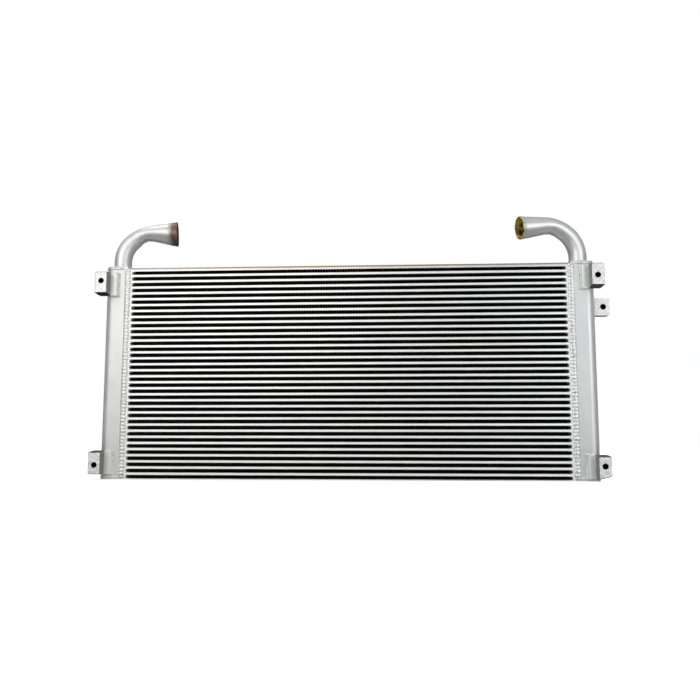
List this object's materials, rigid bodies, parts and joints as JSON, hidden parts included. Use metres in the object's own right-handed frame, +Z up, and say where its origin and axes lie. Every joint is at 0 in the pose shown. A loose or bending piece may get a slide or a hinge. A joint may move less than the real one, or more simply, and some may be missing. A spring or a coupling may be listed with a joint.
{
  "type": "hydraulic oil cooler",
  "caption": "Upright bar-and-plate aluminium oil cooler: a wide core of air fins and oil bars, a welded tank at each end, bent pipes on top and bolt lugs.",
  "frame": {"origin": "middle of the core's underside, the face that the cooler stands on", "axes": "+X along the core towards the tank with the extra side tab, -Y out of the front face that the lugs stand forward of, +Z up"},
  "size_m": [1.117, 0.1114, 0.5802],
  "materials": {
    "core_plate": "brazed mill finish",
    "sheet": "brazed mill finish",
    "bar": "bright brazed bar",
    "fin": "dull thin fin, dark in the depth of the layer",
    "turbulator": "dull thin fin",
    "tank": "satin, brushed",
    "weld": "rippled weld bead",
    "pipe": "satin, with a yellow-brown passivated mouth",
    "lug": "satin block with bright edges"
  },
  "bodies": {
    "root": {"top_side_plate": "core_plate", "bottom_side_plate": "core_plate", "lower_parting_sheets": "sheet", "upper_parting_sheets": "sheet", "front_oil_bars": "bar", "back_oil_bars": "bar", "left_end_bars": "bar", "right_end_bars": "bar", "air_fins": "fin", "oil_turbulators": "turbulator", "left_tank": "tank", "right_tank": "tank", "left_top_cap": "tank", "right_top_cap": "tank", "left_bottom_cap": "tank", "right_bottom_cap": "tank", "front_left_weld": "weld", "front_right_weld": "weld", "back_left_weld": "weld", "back_right_weld": "weld", "left_pipe_weld": "weld", "right_pipe_weld": "weld", "upper_left_lug_weld": "weld", "upper_right_lug_weld": "weld", "lower_left_lug_weld": "weld", "lower_right_lug_weld": "weld", "side_tab_weld": "weld", "left_pipe": "pipe", "right_pipe": "pipe", "upper_left_lug": "lug", "upper_right_lug": "lug", "lower_left_lug": "lug", "lower_right_lug": "lug", "side_tab": "lug"}
  },
  "joints": []
}
